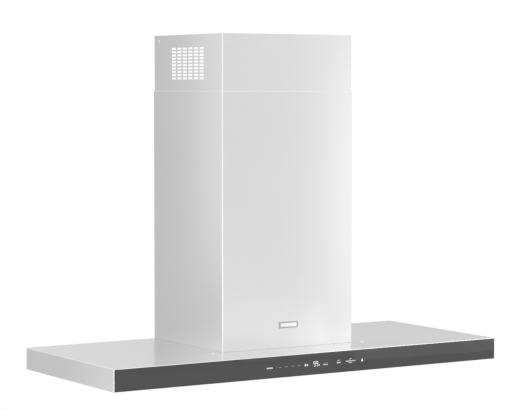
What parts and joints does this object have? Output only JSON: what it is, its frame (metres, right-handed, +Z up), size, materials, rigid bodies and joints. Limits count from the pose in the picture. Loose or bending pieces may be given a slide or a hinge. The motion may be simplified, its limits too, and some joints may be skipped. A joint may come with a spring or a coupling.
{
  "type": "range hood",
  "caption": "Wide wall chimney range hood: shallow stainless canopy with a dark glass control front, telescoping vented chimney covers, baffle filters and a ducted blower.",
  "frame": {"origin": "on the wall plane, at the middle of the canopy's rear bottom edge", "axes": "+X right as seen from the front, along the canopy; +Y back into the wall; +Z up"},
  "size_m": [1.219, 0.505, 0.911],
  "materials": {
    "stainless": "fine horizontal brushed grain",
    "fascia_glass": "dark grey back-painted glass, glossy",
    "pan_stainless": "satin",
    "filter_stainless": "satin",
    "galvanised": "spangled zinc",
    "black_plastic": "moulded, fine texture",
    "motor_metal": "cast, matt",
    "bearing_steel": "ground",
    "screw_steel": "bright",
    "rubber": "matt",
    "board_green": "satin solder mask",
    "display_black": "gloss",
    "contact_metal": "plated",
    "lamp_metal": "satin",
    "lamp_glass": "frosted",
    "capacitor_white": "satin",
    "cable_black": "matt sheath",
    "badge_metal": "satin"
  },
  "bodies": {
    "hood": {"badge": "badge_metal", "blower_box": "galvanised", "blower_box_sides": "galvanised", "cable_gland": "black_plastic", "canopy_shell": "stainless", "canopy_top_screws": "screw_steel", "capacitor": "capacitor_white", "control_cable": "cable_black", "control_housing": "black_plastic", "damper_pins": "bearing_steel", "display_module": "display_black", "duct_collar": "black_plastic", "filter_clips": "pan_stainless", "glass_fascia": "fascia_glass", "inlet_ring_left": "galvanised", "inlet_ring_right": "galvanised", "junction_box": "galvanised", "junction_box_cover": "galvanised", "lamp_housing_1": "lamp_metal", "lamp_housing_2": "lamp_metal", "lamp_housing_3": "lamp_metal", "lamp_housing_4": "lamp_metal", "lamp_lens_1": "lamp_glass", "lamp_lens_2": "lamp_glass", "lamp_lens_3": "lamp_glass", "lamp_lens_4": "lamp_glass", "lower_chimney": "stainless", "lower_cover_screws": "screw_steel", "motor_bearings": "bearing_steel", "motor_body": "motor_metal", "motor_grommets": "rubber", "motor_mount": "galvanised", "mounting_plate": "galvanised", "pan_screws": "screw_steel", "power_board": "board_green", "power_board_box": "black_plastic", "scroll_side_left": "galvanised", "scroll_side_right": "galvanised", "scroll_wrap": "galvanised", "touch_board": "board_green", "touch_springs": "contact_metal", "underside_pan": "pan_stainless"},
    "upper_cover": {"upper_chimney": "stainless", "upper_bracket": "galvanised", "upper_cover_screws": "screw_steel"},
    "impeller_body": {"impeller_plate": "galvanised", "impeller_rings": "galvanised", "impeller_blades": "galvanised", "motor_shaft": "bearing_steel"},
    "damper_front": {"damper_flap_front": "black_plastic"},
    "damper_rear": {"damper_flap_rear": "black_plastic"},
    "filter_left": {"filter_frame_left": "filter_stainless", "filter_baffles_left": "filter_stainless"},
    "latch_left": {"filter_latch_left": "filter_stainless"},
    "filter_centre": {"filter_frame_centre": "filter_stainless", "filter_baffles_centre": "filter_stainless"},
    "latch_centre": {"filter_latch_centre": "filter_stainless"},
    "filter_right": {"filter_frame_right": "filter_stainless", "filter_baffles_right": "filter_stainless"},
    "latch_right": {"filter_latch_right": "filter_stainless"}
  },
  "joints": [
    {"name": "upper_cover_slide", "type": "slide", "parent": "hood", "child": "upper_cover", "axis": [0, 0, 1], "range_m": [-0.13, 0.2]},
    {"name": "impeller_spin", "type": "hinge", "parent": "hood", "child": "impeller_body", "pos_m": [0, -0.125, 0.19], "axis": [1, 0, 0], "continuous": true},
    {"name": "damper_front_hinge", "type": "hinge", "parent": "hood", "child": "damper_front", "pos_m": [0, -0.2185, 0.393], "axis": [-1, 0, 0], "range_deg": [0, 80]},
    {"name": "damper_rear_hinge", "type": "hinge", "parent": "hood", "child": "damper_rear", "pos_m": [0, -0.2085, 0.393], "axis": [1, 0, 0], "range_deg": [0, 80]},
    {"name": "filter_left_hinge", "type": "hinge", "parent": "hood", "child": "filter_left", "pos_m": [-0.385, -0.0604, 0.005], "axis": [1, 0, 0], "range_deg": [0, 75]},
    {"name": "filter_centre_hinge", "type": "hinge", "parent": "hood", "child": "filter_centre", "pos_m": [0, -0.0604, 0.005], "axis": [1, 0, 0], "range_deg": [0, 75]},
    {"name": "filter_right_hinge", "type": "hinge", "parent": "hood", "child": "filter_right", "pos_m": [0.385, -0.0604, 0.005], "axis": [1, 0, 0], "range_deg": [0, 75]},
    {"name": "latch_left_slide", "type": "slide", "parent": "filter_left", "child": "latch_left", "axis": [0, 1, 0], "range_m": [0, 0.0075], "stiffness_N_per_m": 400, "springref_m": -0.002},
    {"name": "latch_centre_slide", "type": "slide", "parent": "filter_centre", "child": "latch_centre", "axis": [0, 1, 0], "range_m": [0, 0.0075], "stiffness_N_per_m": 400, "springref_m": -0.002},
    {"name": "latch_right_slide", "type": "slide", "parent": "filter_right", "child": "latch_right", "axis": [0, 1, 0], "range_m": [0, 0.0075], "stiffness_N_per_m": 400, "springref_m": -0.002}
  ]
}
